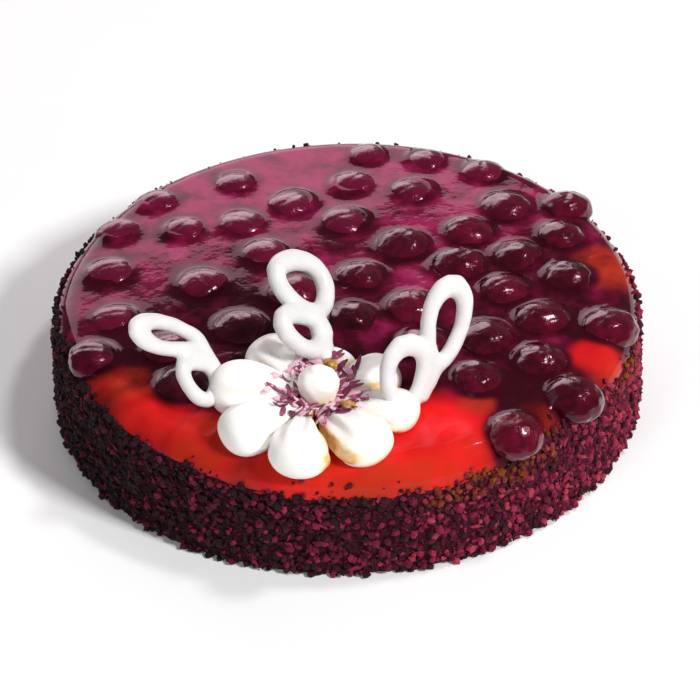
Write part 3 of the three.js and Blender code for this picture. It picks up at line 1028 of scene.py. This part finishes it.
def build_petal(number, flower, material):
    """One piped petal: round and full outside, ridged by the nozzle, pressed against its neighbours."""
    name = f"cream_petal_{number}"
    angle = math.radians(PETAL_FIRST + (number - 1) * 360 / PETAL_COUNT)
    heading = np.array([math.cos(angle), math.sin(angle), 0])
    reach = ((node_points(name) - flower) @ heading).max()
    girth = (1 + reach / PETAL_OUTER) / 2
    ends = np.cos(np.linspace(math.pi, 0, PETAL_ROWS + 2))[1:-1]
    around = np.linspace(0, 2 * math.pi, PETAL_COLUMNS, endpoint=False)
    x, turn = np.meshgrid(ends, around, indexing="ij")
    section = np.sqrt(1 - x * x)
    inward = ((1 - x) / 2) ** PETAL_TAPER_POWER
    ridges = np.cos(PETAL_RIDGES * turn + RIDGE_SHIFT * number + RIDGE_TWIST * x)
    ridge = 1 + RIDGE_HEIGHT * ridges * smooth_step(*RIDGE_SPAN, x)
    along = PETAL_INNER + (reach - PETAL_INNER) * (x + PETAL_BLUNTNESS * (1 - x * x) + 1) / 2
    side = section * np.cos(turn) * (1 - PETAL_SIDE_TAPER * inward) * ridge * girth * PETAL_WIDTH / 2
    thickness = (1 - PETAL_BACK_TAPER * inward) * ridge * girth * PETAL_HEIGHT
    up = section * np.sin(turn) * thickness / 2 + PETAL_RAISE
    limit, split = seam_limits(number, along, side)
    pressed = np.sign(side) * soft_limit(np.abs(side), limit, SEAM_SOFTNESS + OPEN_SOFTNESS * split)
    lumps = waves(np.stack([along, pressed, up], -1).reshape(-1, 3), PETAL_LUMPS, number)
    up = (up + lumps.reshape(x.shape)) * PETAL_RISES.get(number, 1.0)
    px = flower[0] + along * math.cos(angle) - pressed * math.sin(angle)
    py = flower[1] + along * math.sin(angle) + pressed * math.cos(angle)
    floor = jelly_height(np.hypot(px, py)) + PETAL_CLEARANCE
    pz = np.maximum(JELLY_TOP + up, floor)
    rings = np.stack([px, py, pz], -1)
    points, faces = closed_rings(rings, rings[0].mean(0), rings[-1].mean(0))
    # Painted shade in golden tones: in the folds and low down on the flower's right, and along the open
    # seam
    fold_shade = painted_fold_shade(turn, along, np.abs(pressed) / limit, split, pz - floor, px - flower[0])
    values = {"fold_shade": np.append(fold_shade.ravel(), [0, 0])}
    make_piece(f"petal_{number}", points, faces, material, name, values=values)


def build_bead(flower, half, material):
    """The low round bead of cream with the small swirl that the nozzle leaves, on a foot."""
    ball, faces = icosphere(BEAD_DIVISIONS)
    level = ball[:, 2]
    swirl = np.arctan2(ball[:, 1], ball[:, 0])
    ridges = np.cos(BEAD_RIDGES * swirl + BEAD_RIDGE_TWIST * level) * (1 - level**2)
    tip = BEAD_TIP * smooth_step(*BEAD_TIP_SPAN, level)
    radius = 1 + BEAD_RIDGE_HEIGHT * ridges + tip + waves(ball, BEAD_LUMPS)
    points = ball * radius[:, None] * half
    points[:, 2] *= np.where(level < 0, BEAD_FOOT / half[2], 1.0)
    # Painted shade, darker towards the bead's underside
    fold_shade = BEAD_SHADE * smooth_step(*BEAD_SHADE_SPAN, level)
    make_piece("bead", flower + points, faces, material, "cream_bead", values={"fold_shade": fold_shade})


def cream_surface():
    """The petals and the bead as one surface to drop things on."""
    points, faces = [], []
    for name in [*(f"petal_{number}" for number in range(1, PETAL_COUNT + 1)), "bead"]:
        mesh = bpy.data.objects[name].data
        start = len(points)
        points += [v.co / MM for v in mesh.vertices]
        faces += [[start + i for i in p.vertices] for p in mesh.polygons]
    return BVHTree.FromPolygons(points, faces)


def dropped(surface, x, y):
    """Where a thing dropped on a surface lands, or None, and the surface's own direction there."""
    landing, up, _, _ = surface.ray_cast(Vector((x, y, DROP_HEIGHT)), Vector((0, 0, -1)))
    return landing, up


def shaving_points(landing, up, direction, random):
    """One curled and twisted shaving: a row of flat four-cornered sections that taper to its ends."""
    heading = direction + random.normal(0, SHAVING_TURN)
    along = Vector((math.cos(heading), math.sin(heading), 0))
    along = (along - up * along.dot(up)).normalized()
    along = (along + up * random.uniform(*SHAVING_TILTS)).normalized()
    across = up.cross(along).normalized()
    lift = along.cross(across)
    length = random.uniform(*SHAVING_LENGTHS)
    width = random.uniform(*SHAVING_WIDTHS)
    curl = random.uniform(*SHAVING_CURLS)
    twist = random.uniform(*SHAVING_TWISTS)
    points = []
    for step in range(SHAVING_STEPS):
        share = step / (SHAVING_STEPS - 1) - 0.5
        bend = curl * length * (4 * share * share - SHAVING_SAG)
        middle = landing + up * SHAVING_LIFT + along * (share * length) + lift * bend
        tilt = Quaternion(along, twist * share)
        half = width / 2 * (1 - SHAVING_TAPER * abs(2 * share) ** 3)
        for u, v in ((-1, -1), (1, -1), (1, 1), (-1, 1)):
            corner = across * (u * half) + lift * (v * SHAVING_HALF_THICKNESS)
            points.append(middle + tilt @ corner)
    return points


def build_shavings(flower, material, surface):
    """Thin curled shavings that lie on the petals round the bead, fewer of them on its left."""
    random = np.random.default_rng(SHAVING_SEED)
    points, faces, tones = [], [], []
    for _ in range(SHAVING_COUNT):
        reach = SHAVING_NEAREST + SHAVING_SPREAD * random.power(SHAVING_SPREAD_POWER)
        direction = random.uniform(0, 2 * math.pi)
        if math.cos(direction) < SPARSE_LEFT and random.uniform() < SPARSE_SHARE:
            continue
        x = flower[0] + reach * math.cos(direction)
        y = flower[1] + reach * math.sin(direction)
        landing, up = dropped(surface, x, y)
        if landing is None:
            continue
        strip = shaving_points(landing, up, direction, random)
        faces += stack_faces(len(points), SHAVING_STEPS, len(strip) // SHAVING_STEPS)
        points += strip
        tones += [random.beta(*SHAVING_TONES)] * len(strip)
    values = {"tone": tones}
    make_piece("shavings", np.array(points), faces, material, smooth=False, values=values)


def build_caramel(flower, material, surface):
    """A few bits of caramel behind the bead and in front of it on the right."""
    random = np.random.default_rng(CARAMEL_SEED)
    ball, faces = icosphere(CARAMEL_DIVISIONS)
    points, triangles = [], []
    for x, y in CARAMEL_PLACES:
        landing, up = dropped(surface, flower[0] + x, flower[1] + y)
        start = len(points)
        size = random.uniform(*CARAMEL_SIZES)
        radius = 1 + waves(ball, CARAMEL_LUMPS, start)
        lump = ball * radius[:, None] * size * random.uniform(*CARAMEL_STRETCH, 3)
        points += (lump + np.array(landing + up * CARAMEL_LIFT)).tolist()
        triangles += [[start + i for i in f] for f in faces]
    make_piece("caramel_bits", np.array(points), triangles, material, smooth=False)


# White chocolate ornaments


def run_round(piece):
    """Replaces a piece's mesh by one with its edges run round."""
    remesh = piece.modifiers.new("remesh", "REMESH")
    remesh.mode = "VOXEL"
    remesh.voxel_size = LOOP_VOXEL * MM
    remesh.use_smooth_shade = True
    smooth = piece.modifiers.new("smooth", "SMOOTH")
    smooth.factor = LOOP_SMOOTHING
    smooth.iterations = LOOP_SMOOTHING_ROUNDS
    graph = bpy.context.evaluated_depsgraph_get()
    rounded = bpy.data.meshes.new_from_object(piece.evaluated_get(graph))
    piece.modifiers.clear()
    piece.data = rounded


def swell(mesh):
    """Moves a mesh's points outwards by an uneven distance, which makes up for the smoothing."""
    flat = np.zeros(len(mesh.vertices) * 3)
    mesh.vertices.foreach_get("co", flat)
    normals = np.zeros(len(mesh.vertices) * 3)
    mesh.vertices.foreach_get("normal", normals)
    points = flat.reshape(-1, 3) / MM
    out = LOOP_SWELL + waves(points, LOOP_WAVES)
    points = points + normals.reshape(-1, 3) * out[:, None]
    mesh.vertices.foreach_set("co", (points * MM).ravel())
    mesh.polygons.foreach_set("use_smooth", [True] * len(mesh.polygons))
    mesh.update()


def build_loop(side, material):
    """A piped ornament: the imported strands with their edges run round, as chocolate sets."""
    name = f"chocolate_loop_{side}"
    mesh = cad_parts[name].data.copy()
    mesh.name = f"loop_{side}"
    mesh.materials.clear()
    mesh.materials.append(material)
    piece = bpy.data.objects.new(f"loop_{side}", mesh)
    bpy.context.scene.collection.objects.link(piece)
    run_round(piece)
    swell(piece.data)
    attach(piece, BODY)
    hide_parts(name)


# Studio


def build_camera():
    data = bpy.data.cameras.new("camera")
    data.lens = CAMERA_LENS
    data.clip_start = CAMERA_NEAR
    camera = bpy.data.objects.new("camera", data)
    bpy.context.scene.collection.objects.link(camera)
    camera.location = CAMERA_PLACE
    look = Vector(CAMERA_TARGET) - Vector(CAMERA_PLACE)
    camera.rotation_mode = "QUATERNION"
    roll = Quaternion((0, 0, 1), math.radians(CAMERA_ROLL))
    camera.rotation_quaternion = look.to_track_quat("-Z", "Y") @ roll
    bpy.context.scene.camera = camera


def add_panel(name, place, aim, size, energy, colour=(1, 1, 1), glossy=True):
    """A soft studio panel that shines from a place towards a height over the middle of the base."""
    data = bpy.data.lights.new(name, "AREA")
    data.shape = "RECTANGLE"
    data.size, data.size_y = size
    data.energy = energy
    data.color = colour
    panel = bpy.data.objects.new(name, data)
    bpy.context.scene.collection.objects.link(panel)
    panel.location = place
    panel.rotation_mode = "QUATERNION"
    panel.rotation_quaternion = (Vector((0, 0, aim)) - Vector(place)).to_track_quat("-Z", "Y")
    panel.visible_camera = False
    panel.visible_glossy = glossy


def build_studio():
    """White room light, the panels and a pale floor."""
    world = bpy.data.worlds.new("studio")
    world.use_nodes = True
    background = world.node_tree.nodes["Background"]
    background.inputs["Color"].default_value = (1.0, 1.0, 1.0, 1)
    background.inputs["Strength"].default_value = ROOM_LIGHT
    bpy.context.scene.world = world
    bpy.context.scene.view_settings.view_transform = "Standard"
    for panel in PANELS:
        add_panel(**panel)
    material, tree, shader = new_material("floor")
    pale = ramp(tree, grain(tree, 60), [(0.3, (0.88, 0.88, 0.88)), (0.7, (0.9, 0.9, 0.9))])
    tree.links.new(pale, shader.inputs["Base Color"])
    set_shader(shader, Roughness=0.7)
    mesh = bpy.data.meshes.new("floor")
    corners = [(-1, -1), (1, -1), (1, 1), (-1, 1)]
    mesh.from_pydata([(FLOOR_HALF * x, FLOOR_HALF * y, 0) for x, y in corners], [], [[0, 1, 2, 3]])
    mesh.materials.append(material)
    floor = bpy.data.objects.new("floor", mesh)
    bpy.context.scene.collection.objects.link(floor)


build_camera()
build_studio()

crumbs = crumb_material()
build_coat(coat_material())
build_crumbs(crumbs)
build_flakes(crumbs)

cherry_names = sorted(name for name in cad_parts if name.startswith("cherry_") and name[-1].isdigit())
cherry_stances = [stance(name) for name in cherry_names]
cherry_skin = cherry_material()
cherry_ball, cherry_faces = icosphere(CHERRY_DIVISIONS)
for index, (cherry_name, cherry_stance) in enumerate(zip(cherry_names, cherry_stances)):
    build_cherry(index + 1, cherry_name, cherry_stance, cherry_ball, cherry_faces, cherry_skin)
build_jelly(jelly_material(), cherry_stances)

bead_low, bead_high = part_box("cream_bead")
flower_middle = np.array((bead_low + bead_high) / 2) / MM
bead_half = np.array((bead_high - bead_low) / 2) / MM
cream = cream_material()
for petal in range(1, PETAL_COUNT + 1):
    build_petal(petal, flower_middle, cream)
build_bead(flower_middle, bead_half, cream)
cream_top = cream_surface()
build_shavings(flower_middle, shaving_material(), cream_top)
build_caramel(flower_middle, caramel_material(), cream_top)

white_chocolate = white_chocolate_material()
for ornament_side in ("left", "back", "right"):
    build_loop(ornament_side, white_chocolate)

bpy.context.view_layer.update()
